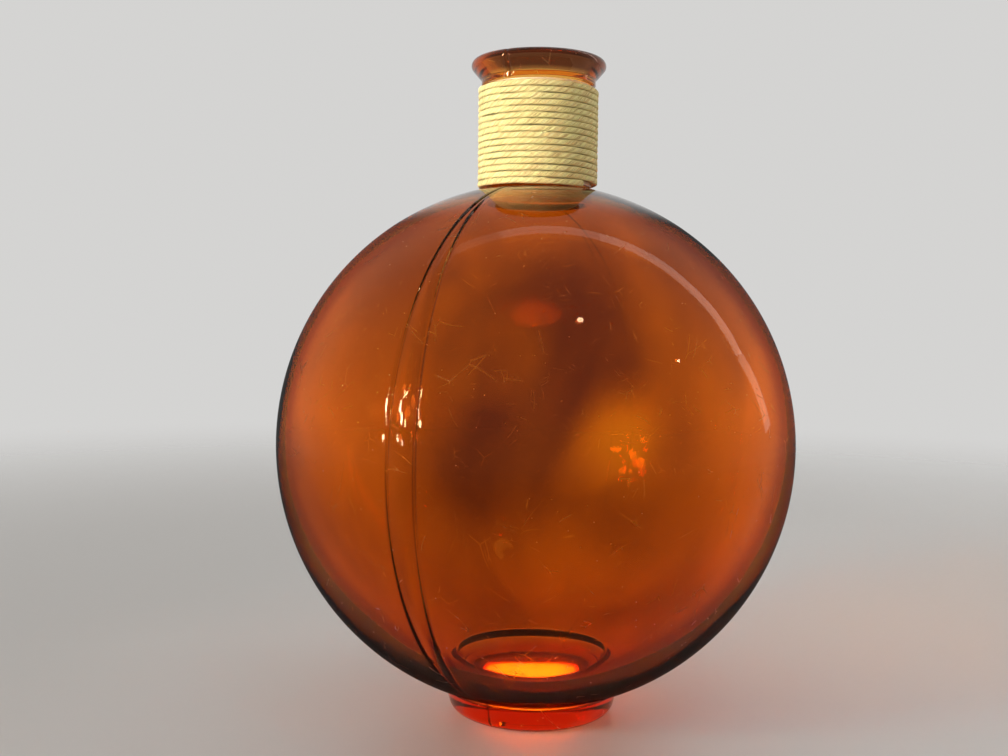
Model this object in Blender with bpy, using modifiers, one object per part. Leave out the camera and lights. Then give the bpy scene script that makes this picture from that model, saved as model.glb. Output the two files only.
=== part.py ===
"""Rope-wrapped glass bottle: a moulded globe on a ring foot, with twine wound round its neck.

Lengths are in metres, angles in degrees, and +Z is up. The origin is the middle of the foot, on the
surface that the bottle stands on, and the bottle's front faces -Y.
"""

from math import acos, atan2, ceil, cos, degrees, hypot, pi, radians, sin, sqrt, tan

import bmesh
import bpy
from mathutils import Vector
from mathutils.kdtree import KDTree

# Globe: a slightly tall ball, whose lower pole hangs just above the surface
GLOBE_DIAMETER = 0.2400
GLOBE_HEIGHT = 0.2424
GLOBE_LIFT = 0.0055
SIDE_WALL = 0.0040
SHOULDER_WALL = 0.0040
BASE_WALL = 0.0085

# Ring foot
FOOT_TOP_DIAMETER = 0.0825
FOOT_TAPER = 0.0030
FOOT_JOINT_FILLET = 0.0020
FOOT_HEEL_FILLET = 0.0060
FOOT_LAND_WIDTH = 0.0035
FOOT_RECESS_DEPTH = 0.0025
FOOT_RECESS_SLOPE = 0.0040

# Sunken floor of the hollow, which reaches down into the foot
FLOOR_SINK = 0.0075
FLOOR_SLOPE = 0.0050
FLOOR_EDGE_WALL = 0.0055

# Neck: a plain seat for the twine under a wider collar
NECK_DIAMETER = 0.0484
NECK_WALL = 0.0032
NECK_FILLET = 0.0012
NECK_BORE_FILLET = 0.0060
COLLAR_STEP = 0.0023
COLLAR_HEIGHT = 0.0027
COLLAR_FILLET = 0.0007

# Flared lip, which ends in a round rim
LIP_FLARE = 0.0048
LIP_HEIGHT = 0.0093
LIP_FILLET = 0.0010
RIM_THICKNESS = 0.0056
MOUTH_FUNNEL_HEIGHT = 0.0140
MOUTH_FUNNEL_FILLET = 0.0080

# Twine, wound as a left-handed helix that starts at the front right of the shoulder
ROPE_DIAMETER = 0.00244
TURN_GAP = 0.00043
TURNS = 15.6
POINTS_PER_TURN = 24
ROPE_START_ANGLE = -45.0

# Glue film between the neck and the twine, and the gap that touching pieces keep
GLUE_THICKNESS = 0.0003
FIT_GAP = 0.0003

# Mould seams: fine raised beads down two opposite sides of the bottle, each with a second bead that
# bows away from it over the globe. They end a little above the surface that the bottle stands on.
SEAM_AZIMUTH = -118.0
SEAM_BEAD_RADIUS = 0.0006
SEAM_BEAD_DEPTH = 0.0002
SEAM_END_DEPTH = 0.0010
SEAM_BOW = 0.0120
SEAM_LIFT = 0.0012

# Fineness of the facets: steps round the axis, the angle between points along an arc, and the
# steps down the slope of the sunken floor
TURNED_STEPS = 48
GLOBE_STEP = 7.5
FILLET_STEP = 24.0
FLOOR_STEPS = 5
MERGE_DISTANCE = 0.00001

# Colour, roughness and metallic value of each material
AMBER_GLASS = ((0.62, 0.17, 0.025, 1.0), 0.04, 0.0)
STRAW_TWINE = ((0.71, 0.57, 0.31, 1.0), 0.85, 0.0)
CLEAR_GLUE = ((0.80, 0.72, 0.55, 1.0), 0.35, 0.0)

# Sizes that follow from the ones above
GLOBE_RADIUS = GLOBE_DIAMETER / 2
GLOBE_HALF_HEIGHT = GLOBE_HEIGHT / 2
GLOBE_MIDDLE = GLOBE_LIFT + GLOBE_HALF_HEIGHT
HOLLOW_RADIUS = GLOBE_RADIUS - SIDE_WALL
HOLLOW_HALF_HEIGHT = (GLOBE_HEIGHT - SHOULDER_WALL - BASE_WALL) / 2
HOLLOW_MIDDLE = GLOBE_MIDDLE + (BASE_WALL - SHOULDER_WALL) / 2

FOOT_TOP_RADIUS = FOOT_TOP_DIAMETER / 2
FOOT_BOTTOM_RADIUS = FOOT_TOP_RADIUS - FOOT_TAPER
FLOOR_RADIUS = FOOT_BOTTOM_RADIUS - FLOOR_EDGE_WALL
NECK_RADIUS = NECK_DIAMETER / 2
BORE_RADIUS = NECK_RADIUS - NECK_WALL
COLLAR_RADIUS = NECK_RADIUS + COLLAR_STEP
LIP_RADIUS = COLLAR_RADIUS + LIP_FLARE
RIM_RADIUS = RIM_THICKNESS / 2
ROPE_RADIUS = ROPE_DIAMETER / 2
ROPE_PITCH = ROPE_DIAMETER + TURN_GAP


def ellipse_height(half_width, half_height, middle, radius):
    """Height at which a turned ellipse has the given radius; a negative half height is its lower half."""
    return middle + half_height * sqrt(1 - (radius / half_width) ** 2)


def globe_surface_height(radius):
    """Height of the globe's upper surface at the given radius."""
    return ellipse_height(GLOBE_RADIUS, GLOBE_HALF_HEIGHT, GLOBE_MIDDLE, radius)


# The glue lies on the neck, and the winding lies on the glue. A turn is a chain of chords, whose
# middles come closer to the axis than its points.
GLUE_INNER_RADIUS = NECK_RADIUS + FIT_GAP
GLUE_OUTER_RADIUS = GLUE_INNER_RADIUS + GLUE_THICKNESS
WINDING_RADIUS = (GLUE_OUTER_RADIUS + FIT_GAP + ROPE_RADIUS) / cos(pi / POINTS_PER_TURN)
WINDING_OUTER_RADIUS = WINDING_RADIUS + ROPE_RADIUS

# The lowest turn lies on the shoulder, and the collar starts just above the highest turn
SHOULDER_SLOPE = atan2(globe_surface_height(NECK_RADIUS) - globe_surface_height(WINDING_OUTER_RADIUS),
                       WINDING_OUTER_RADIUS - NECK_RADIUS)
WINDING_BOTTOM = globe_surface_height(WINDING_RADIUS) + (ROPE_RADIUS + FIT_GAP) / cos(SHOULDER_SLOPE)
WINDING_TOP = WINDING_BOTTOM + TURNS * ROPE_PITCH
NECK_BOTTOM = globe_surface_height(NECK_RADIUS)
SHOULDER_FILLET = min(NECK_FILLET, ROPE_RADIUS)
COLLAR_BOTTOM = WINDING_TOP + ROPE_RADIUS + FIT_GAP
LIP_BOTTOM = COLLAR_BOTTOM + COLLAR_HEIGHT
BOTTLE_HEIGHT = LIP_BOTTOM + LIP_HEIGHT


def arc(centre, radius, start, end, step):
    """Points (x, z) on a circle between two angles, both ends included."""
    count = max(1, ceil(abs(end - start) / step))
    angles = [radians(start + (end - start) * i / count) for i in range(count + 1)]
    return [(centre[0] + radius * cos(a), centre[1] + radius * sin(a)) for a in angles]


def ellipse_arc(half_width, half_height, middle, start, end):
    """Points (x, z) on a turned ellipse between two latitudes, both ends included."""
    count = max(1, round(abs(end - start) / GLOBE_STEP))
    latitudes = [radians(start + (end - start) * i / count) for i in range(count + 1)]
    return [(half_width * cos(t), middle + half_height * sin(t)) for t in latitudes]


def rounded(corner, before, after, radius):
    """The points of a fillet that replaces a corner between its two neighbours."""
    corner, before, after = Vector(corner), Vector(before), Vector(after)
    towards_before = (before - corner).normalized()
    towards_after = (after - corner).normalized()
    half_angle = towards_before.angle(towards_after) / 2
    reach = min(radius / tan(half_angle), (before - corner).length / 2, (after - corner).length / 2)
    radius = reach * tan(half_angle)
    centre = corner + (towards_before + towards_after).normalized() * (radius / sin(half_angle))
    first = corner + towards_before * reach - centre
    turn = first.angle_signed(corner + towards_after * reach - centre)
    start = degrees(atan2(first.y, first.x))
    return arc(centre, radius, start, start - degrees(turn), FILLET_STEP)


def tangent_angle(point, centre, radius, side):
    """Angle on a circle where a line from an outside point touches it, on the side +1 or -1."""
    along = degrees(atan2(point[1] - centre[1], point[0] - centre[0]))
    distance = hypot(point[0] - centre[0], point[1] - centre[1])
    return along + side * degrees(acos(radius / distance))


def lip_profile():
    """The funnel of the mouth, the round rim, the flare and the collar, from inside to outside."""
    centre = (LIP_RADIUS - RIM_RADIUS, BOTTLE_HEIGHT - RIM_RADIUS)
    funnel_foot = (BORE_RADIUS, BOTTLE_HEIGHT - MOUTH_FUNNEL_HEIGHT)
    flare_foot = (COLLAR_RADIUS, LIP_BOTTOM)
    inner_touch = tangent_angle(funnel_foot, centre, RIM_RADIUS, -1) % 360
    outer_touch = tangent_angle(flare_foot, centre, RIM_RADIUS, 1)
    outer_touch = (outer_touch + 180) % 360 - 180
    rim = arc(centre, RIM_RADIUS, inner_touch, outer_touch, FILLET_STEP)
    bore_middle = (BORE_RADIUS, (funnel_foot[1] + NECK_BOTTOM) / 2)
    collar_edge = (COLLAR_RADIUS, COLLAR_BOTTOM)
    ledge = (NECK_RADIUS, COLLAR_BOTTOM)
    path = rounded(funnel_foot, bore_middle, rim[0], MOUTH_FUNNEL_FILLET)
    path += rim
    path += rounded(flare_foot, rim[-1], collar_edge, LIP_FILLET)
    path += rounded(collar_edge, flare_foot, ledge, COLLAR_FILLET)
    return path + [ledge]


def floor_height(radius):
    """Height of the hollow's floor, which sinks below the plain ellipse inside the floor's edge."""
    share = max(0, (radius - FLOOR_RADIUS) / FLOOR_SLOPE)
    plain = ellipse_height(HOLLOW_RADIUS, -HOLLOW_HALF_HEIGHT, HOLLOW_MIDDLE, radius)
    return plain - FLOOR_SINK * (1 - share * share * (3 - 2 * share))


def hollow_profile():
    """The inside of the globe, from its sunken floor up to the bore of the neck."""
    slope = [FLOOR_RADIUS + FLOOR_SLOPE * i / FLOOR_STEPS for i in range(FLOOR_STEPS)]
    floor = [(x, floor_height(x)) for x in [0.0, FLOOR_RADIUS / 2] + slope]
    bottom = -degrees(acos((FLOOR_RADIUS + FLOOR_SLOPE) / HOLLOW_RADIUS))
    top = degrees(acos(BORE_RADIUS / HOLLOW_RADIUS))
    wall = ellipse_arc(HOLLOW_RADIUS, HOLLOW_HALF_HEIGHT, HOLLOW_MIDDLE, bottom, top)
    above = (BORE_RADIUS, BOTTLE_HEIGHT - MOUTH_FUNNEL_HEIGHT)
    return floor + wall[:-1] + rounded(wall[-1], wall[-2], above, NECK_BORE_FILLET)


def globe_profile():
    """The outside of the globe, from the foot of the neck down to the top of the ring foot."""
    top = degrees(acos(NECK_RADIUS / GLOBE_RADIUS))
    bottom = -degrees(acos(FOOT_TOP_RADIUS / GLOBE_RADIUS))
    wall = ellipse_arc(GLOBE_RADIUS, GLOBE_HALF_HEIGHT, GLOBE_MIDDLE, top, bottom)
    neck = (NECK_RADIUS, COLLAR_BOTTOM)
    foot = (FOOT_BOTTOM_RADIUS, 0.0)
    shoulder = rounded(wall[0], neck, wall[1], SHOULDER_FILLET)
    joint = rounded(wall[-1], wall[-2], foot, FOOT_JOINT_FILLET)
    return shoulder + wall[1:-1] + joint


def foot_profile():
    """The foot's heel, the flat ring that it stands on, and the recess under the base."""
    foot_top = globe_profile()[-1]
    edge = (FOOT_BOTTOM_RADIUS, 0.0)
    heel = rounded(edge, foot_top, (0.0, 0.0), FOOT_HEEL_FILLET)
    land = (heel[-1][0] - FOOT_LAND_WIDTH, 0.0)
    recess = (land[0] - FOOT_RECESS_SLOPE, FOOT_RECESS_DEPTH)
    wall = rounded(recess, land, (0.0, FOOT_RECESS_DEPTH), FOOT_RECESS_SLOPE)
    return heel + [land] + wall + [(0.0, FOOT_RECESS_DEPTH)]


def add_material(obj, look):
    """Give an object its own Principled material."""
    colour, roughness, metallic = look
    material = bpy.data.materials.new(obj.name)
    material.use_nodes = True
    shader = material.node_tree.nodes["Principled BSDF"]
    shader.inputs["Base Color"].default_value = colour
    shader.inputs["Roughness"].default_value = roughness
    shader.inputs["Metallic"].default_value = metallic
    material.diffuse_color = colour
    obj.data.materials.append(material)


def add_collection(name):
    """A new collection in the scene."""
    collection = bpy.data.collections.new(name)
    bpy.context.scene.collection.children.link(collection)
    return collection


def turned(name, profile, closed, collection):
    """A profile of (x, z) points in the XZ plane, turned round the Z axis by a Screw modifier."""
    mesh = bpy.data.meshes.new(name)
    shape = bmesh.new()
    vertices = [shape.verts.new((x, 0.0, z)) for x, z in profile]
    pairs = list(zip(vertices, vertices[1:]))
    if closed:
        pairs.append((vertices[-1], vertices[0]))
    for pair in pairs:
        shape.edges.new(pair)
    shape.to_mesh(mesh)
    shape.free()
    obj = bpy.data.objects.new(name, mesh)
    collection.objects.link(obj)
    screw = obj.modifiers.new("Turn", "SCREW")
    screw.steps = TURNED_STEPS
    screw.render_steps = TURNED_STEPS
    screw.use_merge_vertices = True
    screw.merge_threshold = MERGE_DISTANCE
    screw.use_smooth_shade = True
    return obj


def tube(name, points, radius, resolution, collection):
    """A round tube with closed ends along a chain of points."""
    curve = bpy.data.curves.new(name, "CURVE")
    curve.dimensions = "3D"
    curve.bevel_depth = radius
    curve.bevel_resolution = resolution
    curve.use_fill_caps = True
    spline = curve.splines.new("POLY")
    spline.points.add(len(points) - 1)
    for spline_point, place in zip(spline.points, points):
        spline_point.co = (*place, 1.0)
    obj = bpy.data.objects.new(name, curve)
    collection.objects.link(obj)
    return obj


def as_mesh(obj, collection):
    """A mesh copy of a tube with its caps welded on; the tube is removed."""
    evaluated = obj.evaluated_get(bpy.context.evaluated_depsgraph_get())
    mesh = bpy.data.meshes.new_from_object(evaluated)
    shape = bmesh.new()
    shape.from_mesh(mesh)
    bmesh.ops.remove_doubles(shape, verts=shape.verts, dist=MERGE_DISTANCE)
    shape.to_mesh(mesh)
    shape.free()
    name, place = obj.name, obj.matrix_world.copy()
    bpy.data.objects.remove(obj)
    copy = bpy.data.objects.new(name, mesh)
    copy.matrix_world = place
    collection.objects.link(copy)
    return copy


def seam_path(profile):
    """Points of a bead along a downward stretch of the outside, sunk deeper at both ends."""
    last = len(profile) - 1
    path = []
    for i, point in enumerate(profile):
        along = (Vector(profile[min(i + 1, last)]) - Vector(profile[max(i - 1, 0)])).normalized()
        inward = Vector((along.y, -along.x))
        depth = SEAM_END_DEPTH if i in (0, last) else SEAM_BEAD_DEPTH
        path.append(Vector(point) + inward * depth)
    return path


def lip_seam():
    """The straight seam from the rim down to the collar's lower edge."""
    crown = LIP_RADIUS - RIM_RADIUS
    profile = lip_profile()
    start = max(i for i, point in enumerate(profile) if point[0] < crown and point[1] > LIP_BOTTOM)
    return seam_path([p for p in profile[start + 1:] if p[0] > COLLAR_RADIUS - COLLAR_FILLET])


def globe_seam():
    """The straight seam from the winding's edge, over the globe and down the foot."""
    profile = globe_profile() + foot_profile()
    first = next(i for i, point in enumerate(profile) if point[0] > WINDING_OUTER_RADIUS)
    chord_start, chord_end = Vector(profile[first - 1]), Vector(profile[first])
    share = (WINDING_OUTER_RADIUS - chord_start.x) / (chord_end.x - chord_start.x)
    below = [p for p in profile[first:] if p[1] > SEAM_LIFT and p[0] > FOOT_TOP_RADIUS / 2]
    return seam_path([chord_start.lerp(chord_end, share)] + below)


def bowed_seam():
    """The second seam, which bows away from the straight one and stays just clear of its ends."""
    end_spacing = 2 * SEAM_BEAD_RADIUS + FIT_GAP
    reach = GLOBE_HALF_HEIGHT * sqrt(1 - end_spacing / SEAM_BOW)
    points = []
    for place in seam_path([p for p in globe_profile() if abs(p[1] - GLOBE_MIDDLE) < reach]):
        aside = SEAM_BOW * (1 - ((place.y - GLOBE_MIDDLE) / GLOBE_HALF_HEIGHT) ** 2)
        points.append(Vector((sqrt(place.x ** 2 - aside ** 2), aside, place.y)))
    return points


def make_seams(collection):
    """The seam beads of both sides, as meshes ready to be joined to the glass."""
    beads = []
    paths = {
        "lip": [Vector((p.x, 0.0, p.y)) for p in lip_seam()],
        "globe": [Vector((p.x, 0.0, p.y)) for p in globe_seam()],
        "bow": bowed_seam(),
    }
    for side, turn in (("front", SEAM_AZIMUTH), ("back", SEAM_AZIMUTH + 180)):
        for name, path in paths.items():
            bead = tube(f"seam_{name}_{side}", path, SEAM_BEAD_RADIUS, 0, collection)
            bead.rotation_euler.z = radians(turn)
            bpy.context.view_layer.update()
            bead = as_mesh(bead, collection)
            bead.hide_render = True
            bead.display_type = "WIRE"
            beads.append(bead)
    return beads


def make_glass(collection, tools):
    """The bottle: one turned shell, open at the mouth, with its mould seams joined on."""
    profile = hollow_profile() + lip_profile() + globe_profile() + foot_profile()
    glass = turned("glass_bottle", profile, False, collection)
    glass.rotation_euler.z = radians(SEAM_AZIMUTH)
    for bead in make_seams(tools):
        join = glass.modifiers.new(bead.name, "BOOLEAN")
        join.operation = "UNION"
        join.solver = "EXACT"
        join.object = bead
    add_material(glass, AMBER_GLASS)
    return glass


def make_glue(collection):
    """The glue film: a thin sleeve round the neck, as tall as the twine's seat."""
    bottom = globe_profile()[0][1] + FIT_GAP
    top = COLLAR_BOTTOM - FIT_GAP
    profile = [(GLUE_OUTER_RADIUS, top), (GLUE_OUTER_RADIUS, bottom),
               (GLUE_INNER_RADIUS, bottom), (GLUE_INNER_RADIUS, top)]
    glue = turned("rope_adhesive", profile, True, collection)
    glue.rotation_euler.z = radians(SEAM_AZIMUTH)
    add_material(glue, CLEAR_GLUE)
    return glue


def winding_points():
    """The twine's route: a left-handed helix with a straight run of one diameter at each end."""
    count = round(TURNS * POINTS_PER_TURN)
    points = []
    for i in range(count + 1):
        angle = radians(ROPE_START_ANGLE - 360 * TURNS * i / count)
        height = WINDING_BOTTOM + (WINDING_TOP - WINDING_BOTTOM) * i / count
        points.append(Vector((WINDING_RADIUS * cos(angle), WINDING_RADIUS * sin(angle), height)))
    for end, last, inner in ((0, points[0], points[1]), (len(points) + 1, points[-1], points[-2])):
        outward = Vector((last.x, last.y, 0.0)).normalized()
        along = last - inner
        along = (along - outward * along.dot(outward)).normalized()
        points.insert(end, last + Vector((along.x, along.y, 0.0)) * ROPE_DIAMETER)
    return points


def least_gap(points):
    """The least gap between the twine's turns, measured between all its points."""
    tree = KDTree(len(points))
    for index, point in enumerate(points):
        tree.insert(point, index)
    tree.balance()
    nearest = ROPE_PITCH * 2
    for index, point in enumerate(points):
        for _, other, distance in tree.find_range(point, ROPE_PITCH * 2):
            if abs(other - index) > POINTS_PER_TURN / 2:
                nearest = min(nearest, distance)
    return nearest - ROPE_DIAMETER


def make_rope(collection):
    """The twine: one unbroken tube with all its turns."""
    points = winding_points()
    rope = tube("neck_rope", points, ROPE_RADIUS, 1, collection)
    print(f"Least gap between the turns of neck_rope: {least_gap(points) * 1000:.3f} mm")
    add_material(rope, STRAW_TWINE)
    return rope


def build():
    """Clear the scene and model the bottle."""
    for obj in list(bpy.data.objects):
        bpy.data.objects.remove(obj)
    bottle = add_collection("rope_wrapped_glass_bottle")
    tools = add_collection("joining_shapes")
    stand = bpy.data.objects.new("bottle_origin", None)
    bottle.objects.link(stand)
    for piece in (make_glass(bottle, tools), make_glue(bottle), make_rope(bottle)):
        piece.parent = stand


build()
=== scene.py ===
"""Looks of the rope-wrapped glass bottle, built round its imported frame.

Lengths are in metres, angles in degrees, and +Z is up. The bottle stands at the origin with its front
towards -Y, and the frame's body "root" carries every piece.
"""

from math import acos, atan2, ceil, cos, degrees, hypot, pi, radians, sin, sqrt, tan

import bmesh
import bpy
import numpy as np
from mathutils import Matrix, Vector, noise


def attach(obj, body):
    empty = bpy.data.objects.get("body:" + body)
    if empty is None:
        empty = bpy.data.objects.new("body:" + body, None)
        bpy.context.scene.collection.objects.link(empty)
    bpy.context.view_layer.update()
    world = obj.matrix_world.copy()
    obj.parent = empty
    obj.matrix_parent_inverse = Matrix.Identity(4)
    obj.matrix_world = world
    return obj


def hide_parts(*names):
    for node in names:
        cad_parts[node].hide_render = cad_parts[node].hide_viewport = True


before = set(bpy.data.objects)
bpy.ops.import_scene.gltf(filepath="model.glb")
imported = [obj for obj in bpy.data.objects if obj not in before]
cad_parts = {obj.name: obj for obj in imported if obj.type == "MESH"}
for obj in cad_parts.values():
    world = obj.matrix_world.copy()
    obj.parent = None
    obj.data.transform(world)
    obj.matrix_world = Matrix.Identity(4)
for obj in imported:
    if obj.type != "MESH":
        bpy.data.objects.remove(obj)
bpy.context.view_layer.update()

# Camera: place, turns in radians and lens in millimetres
CAMERA_PLACE = (0.0, -0.533, 0.187)
CAMERA_YAW = -0.0275
CAMERA_PITCH = -0.0560
CAMERA_ROLL = 0.0108
CAMERA_LENS = 40.36
SENSOR_WIDTH = 36.0

# Disc lamps that give the cluster of highlights: place and diameter
KEY_LAMPS = (
    ((-1.280, -0.679, 0.510), 0.125),
    ((-1.107, -0.875, 0.651), 0.080),
    ((-1.086, -1.009, 0.400), 0.080),
    ((-1.312, -0.718, 0.229), 0.075),
    ((-1.161, -0.956, 0.204), 0.075),
    ((-1.222, -0.821, 0.426), 0.125),
    ((-1.195, -0.760, 0.640), 0.075),
)
KEY_LAMP_SPREAD = 30.0
KEY_LAMP_POWER = 11.8
KEY_LAMP_TARGET = (0.0, 0.0, 0.25)
KEY_LIGHT = (1.0, 0.96, 0.90)

# Small lamps for two single highlights: name, place, diameter and power
SMALL_LAMPS = (
    ("small_lamp_high", (0.408, -0.792, 1.339), 0.06, 0.5),
    ("small_lamp_right", (1.215, -0.452, 0.870), 0.035, 0.2),
)
SMALL_LIGHT = (0.95, 0.97, 1.0)

# What the small lamps and the arc face
LAMP_TARGET = (0.0, 0.0, 0.14)

# The arc of panels: its corners, and each panel's brightness
LIGHT_ARC = ((-0.77, 0.18, 1.37), (-0.26, 0.27, 1.55), (0.43, 0.36, 1.485),
             (1.016, 0.395, 1.108), (1.30, 0.40, 0.65), (1.342, 0.566, 0.153))
LIGHT_ARC_RADIANCE = (0.7, 1.6, 2.4, 2.6, 2.0)
LIGHT_ARC_WIDTH = 0.13
ARC_LIGHT = (0.98, 0.96, 1.0)

# The narrow beam down through the mouth
MOUTH_SPOT_HEIGHT = 1.6
MOUTH_SPOT_ANGLE = 2.2
MOUTH_SPOT_POWER = 600.0
MOUTH_SPOT_BLEND = 0.6
MOUTH_SPOT_SOFTNESS = 0.004

# World and floor: colour of the background, colour and strength of the plain light, and the floor's colours,
# its grains in a metre, and the distances between which it fades
BACKGROUND = (0.66, 0.655, 0.645, 1.0)
PLAIN_LIGHT = (1.0, 0.96, 0.90, 1.0)
PLAIN_LIGHT_STRENGTH = 0.46
FLOOR_COLOURS = ((0.66, 0.65, 0.635, 1.0), (0.70, 0.69, 0.675, 1.0))
FLOOR_ROUGHNESS = (0.30, 0.38)
FLOOR_GRAIN_SCALE = 240.0
FLOOR_FADE = (0.45, 1.5, 0.0, 1.0)
FLOOR_SIZE = 2.8
FLOOR_SIDES = 96
FLOOR_CLEARANCE = 0.0002

# Globe and foot, as in the frame
GLOBE_DIAMETER = 0.2400
GLOBE_HEIGHT = 0.2424
GLOBE_LIFT = 0.0055
SIDE_WALL = 0.0040
SHOULDER_WALL = 0.0040
BASE_WALL = 0.0085
FOOT_TOP_DIAMETER = 0.0825
FOOT_TAPER = 0.0030
FOOT_JOINT_FILLET = 0.0020
FOOT_HEEL_FILLET = 0.0060
FOOT_LAND_WIDTH = 0.0035
FOOT_RECESS_DEPTH = 0.0025
FOOT_RECESS_SLOPE = 0.0040
FLOOR_SINK = 0.0075
FLOOR_SLOPE = 0.0050
FLOOR_EDGE_WALL = 0.0055

# Neck and lip, as in the frame
NECK_DIAMETER = 0.0484
NECK_WALL = 0.0032
NECK_FILLET = 0.0012
NECK_BORE_FILLET = 0.0060
COLLAR_STEP = 0.0023
COLLAR_HEIGHT = 0.0027
COLLAR_FILLET = 0.0007
LIP_FLARE = 0.0048
LIP_HEIGHT = 0.0093
LIP_FILLET = 0.0010
RIM_THICKNESS = 0.0056
MOUTH_FUNNEL_HEIGHT = 0.0140
MOUTH_FUNNEL_FILLET = 0.0080

# Winding, as in the frame
CORD_DIAMETER = 0.00244
TURN_GAP = 0.00043
TURNS = 15.6
CORD_POINTS_PER_TURN = 24
CORD_START_ANGLE = -45.0
GLUE_THICKNESS = 0.0003
FIT_GAP = 0.0003

# Mould seams
SEAM_AZIMUTH = -118.0
SEAM_BOW = 0.0120
SEAM_LIFT = 0.0012
SEAM_HEIGHT = 0.00060
SEAM_WIDTH = 0.00052
SEAM_LEAST_SPACING = 0.0022
BACK_SEAM_SHARE = 0.4
SEAM_START_LENGTH = 0.0015
SEAM_FADE = 0.0006
BOWED_SEAM_BOTTOM = 0.012

# Fineness of the glass: steps of its arcs, its longest edge, and its columns, which lie at these distances
# beside a seam, and only at the first few of them between the two seams
GLOBE_STEP = 1.5
FILLET_STEP = 7.5
LONGEST_EDGE = 0.0035
PLAIN_COLUMNS = 116
FLOOR_STEPS = 14
MERGE_DISTANCE = 0.00001
LEAST_COLUMN_RADIUS = 0.02
NEAR_SEAM = np.array([0.00017, 0.00035, 0.0006, 0.0009, 0.0015, 0.0026])
BETWEEN_SEAMS = NEAR_SEAM[:4]

# Unevenness of the blown glass: depth and length of its waves
INNER_WAVES = ((0.00032, 0.085), (0.00009, 0.028))
OUTER_WAVES = ((0.00007, 0.075),)
WAVES_BOTTOM = 0.014
WAVES_TOP = 0.262
WAVES_FADE = 0.02

# Tint of the glass, which also holds painted light and shade: its colours, and the heights between which one
# gives way to another, with its shares at these two heights
# Light and dark ends of the globe's tint: its random streaks, its painted shade and its painted light lie
# between them
LIGHT_AMBER = (1.0, 0.51, 0.055, 1.0)
DARK_AMBER = (0.41, 0.175, 0.12, 1.0)
# Painted glow round the inner highlights
PAINTED_GLOW_AMBER = (1.0, 0.57, 0.065, 1.0)
# Painted glow in the base
BASE_PAINTED_GLOW_AMBER = (1.0, 0.64, 0.13, 1.0)
# Painted light on the collar
COLLAR_PAINTED_LIGHT_AMBER = (1.0, 0.60, 0.15, 1.0)
# Painted shade on the lip
LIP_PAINTED_SHADE_BROWN = (0.10, 0.028, 0.025, 1.0)
# Painted glints on the lip
LIP_PAINTED_GLINT_ORANGE = (0.85, 0.24, 0.04, 1.0)
# Painted shade along the seams
SEAM_PAINTED_SHADE_BROWN = (0.18, 0.05, 0.035, 1.0)
MARK_GOLD = (1.0, 0.80, 0.45, 1.0)
# Painted shade at the outline
EDGE_PAINTED_SHADE_BROWN = (0.50, 0.135, 0.05, 1.0)
LAMP_AMBER = (0.90, 0.80, 0.58, 1.0)
DEPTH_AMBER = (0.98, 0.74, 0.30, 1.0)
DEPTH_DENSITY = 200.0
REFLECTION_TINT = (0.80, 0.42, 0.22, 1.0)
GLASS_IOR = 1.52
# Heights of the base's painted glow, the collar's painted light, and the lip's painted shade and glints
BASE_FADE = (0.012, 0.024, 0.9, 0.0)
COLLAR_FADE = (0.2900, 0.2930, 0.0, 0.9)
LIP_FADE = (0.2955, 0.2975, 0.0, 0.95)
LIP_PATCH_FADE = (0.2955, 0.2975, 0.0, 1.0)
# Painted shade towards the shoulder and towards the bottom of the globe
SHOULDER_PAINTED_SHADE = (0.13, 0.25, 0.0, 0.30)
LOW_PAINTED_SHADE = (0.03, 0.10, 0.16, 0.06)
# Heights where the seams' painted shade fades out
SEAM_LOW_FADE = (0.03, 0.08, 0.4, 1.0)
SEAM_HIGH_FADE = (0.17, 0.22, 1.0, 0.35)
EDGE_LOW_FADE = (0.009, 0.016, 0.0, 1.0)
EDGE_HIGH_FADE = (0.226, 0.239, 1.0, 0.0)

# How the glass changes from where it faces the viewer, 0, to its outline, 1, with the shares at two such
# values: first the painted shade at the outline, then the share that shows no reflections
EDGE_PAINTED_SHADE_FADE = (0.62, 0.84, 0.0, 1.0)
CLEAR_SHARE_FADE = (0.50, 0.82, 0.48, 0.90)

# Surface of the glass: how rough it is, and its fine marks and patterns, with a pattern's cells in a metre as
# its scale. The scratches have two webs of lines: scale, thickness as a share of a cell, and shift
GLASS_ROUGHNESS = (0.015, 0.05)
MARK_ROUGHNESS = 0.25
MARK_TINT_SHARE = 0.8
# Share of the painted shade along the seams
SEAM_PAINTED_SHADE_SHARE = 0.65
SCRATCH_WEBS = ((34.0, 0.006, 0.0), (61.0, 0.009, 3.0))
SCRATCH_BEND = (0.05, 0.05, 0.05)
SCRATCH_BEND_SCALE = 16.0
SCRATCH_GAP_SCALE = 75.0
SPECK_SCALE = 210.0
SPECK_FADE = (0.035, 0.075)
SMEAR_SCALE = 26.0
RIPPLE_SCALE = 45.0
RIPPLE_SHARE = 0.12
MARK_DEPTH_SHARE = -0.4
BUMP_HEIGHT = 0.0002
BUMP_STRENGTH = 0.35

# Streaks of the tint, lobes of painted shade and light (centre, reach, share), and two spots of painted glow
# (centre)
FLOW_SCALE = 7.0
CLOUD_SCALE = 13.0
CLOUD_SEED = 0.0
CLOUD_WARP = (0.12, 0.12, 0.08)
CLOUD_STRETCH = (1.0, 1.0, 0.45)
LOBE_CORE = 0.25
PAINTED_GLOW_FADE = (0.004, 0.026, 0.8, 0.0)
PAINTED_SHADE_LOBES = (((-0.014, -0.105, 0.160), 0.085, 0.80), ((-0.012, 0.105, 0.148), 0.090, 0.62))
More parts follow.
